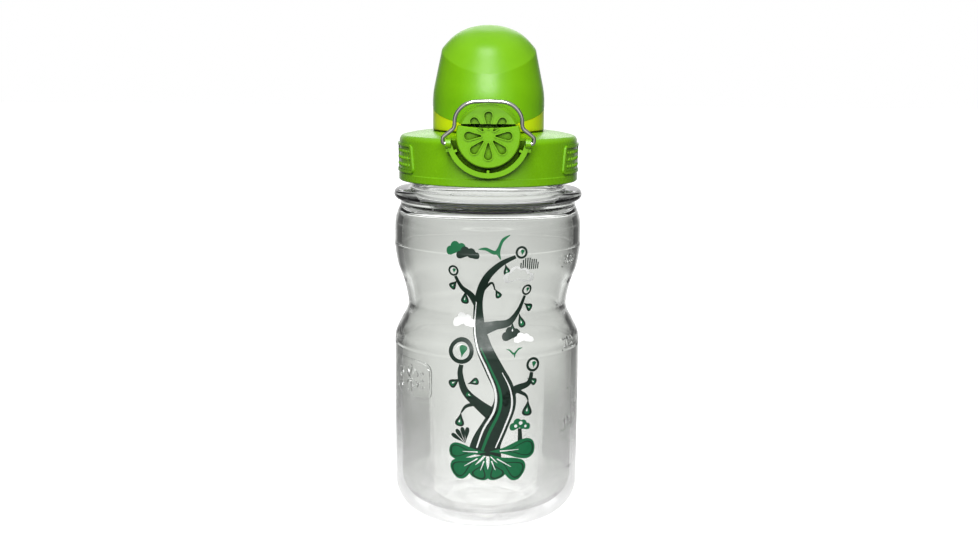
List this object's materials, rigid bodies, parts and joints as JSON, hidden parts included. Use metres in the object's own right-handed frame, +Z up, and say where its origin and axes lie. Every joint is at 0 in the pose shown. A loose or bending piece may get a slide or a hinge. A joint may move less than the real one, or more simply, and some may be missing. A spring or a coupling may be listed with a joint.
{
  "type": "kids water bottle",
  "caption": "Clear waisted drinking bottle with a screw cap, a push-button flip hood over a slanted spout, and a swinging wire safety bail.",
  "frame": {"origin": "centre of the standing ring, on the bottle's axis", "axes": "+Z up along the bottle's axis, latch button facing -Y, +X to the right seen from the front"},
  "size_m": [0.0706, 0.0745, 0.1854],
  "materials": {
    "clear_copolyester": "clear moulded plastic, very slightly smoky, polished",
    "leaf_green_plastic": "satin moulded polypropylene",
    "lime_yellow_plastic": "semi-gloss moulded polypropylene",
    "silicone": "matt translucent white silicone",
    "stainless_wire": "bright drawn stainless wire",
    "spring_steel": "plain spring steel"
  },
  "bodies": {
    "bottle": {"bottle": "clear_copolyester"},
    "cap_seal": {"cap_gasket": "silicone"},
    "cap": {"cap": "leaf_green_plastic", "mouthpiece": "lime_yellow_plastic", "mouthpiece_oring": "silicone", "hinge_pin": "spring_steel", "hinge_spring": "spring_steel", "button_spring": "spring_steel"},
    "hood": {"hood": "leaf_green_plastic", "hood_seal": "silicone"},
    "button": {"button": "leaf_green_plastic"},
    "bail": {"wire_bail": "stainless_wire"}
  },
  "joints": [
    {"name": "cap_lift", "type": "slide", "parent": "bottle", "child": "cap_seal", "axis": [0, 0, 1], "range_m": [0, 0.0205]},
    {"name": "cap_turn", "type": "hinge", "parent": "cap_seal", "child": "cap", "pos_m": [0, 0, 0.137], "axis": [0, 0, 1], "range_deg": [0, 1440]},
    {"name": "hood_flip", "type": "hinge", "parent": "cap", "child": "hood", "pos_m": [0, 0.0242, 0.159], "axis": [-1, 0, 0], "range_deg": [0, 130]},
    {"name": "button_push", "type": "slide", "parent": "cap", "child": "button", "axis": [0, 1, 0], "range_m": [-0.0008, 0.0015], "deforming": ["button_spring"]},
    {"name": "bail_swing", "type": "hinge", "parent": "cap", "child": "bail", "pos_m": [0, -0.036, 0.144], "axis": [1, 0, 0], "range_deg": [-15, 150]}
  ],
  "couplings": [
    {"joint": "cap_lift", "follows": "cap_turn", "m_per_rad": 0.00079577}
  ]
}
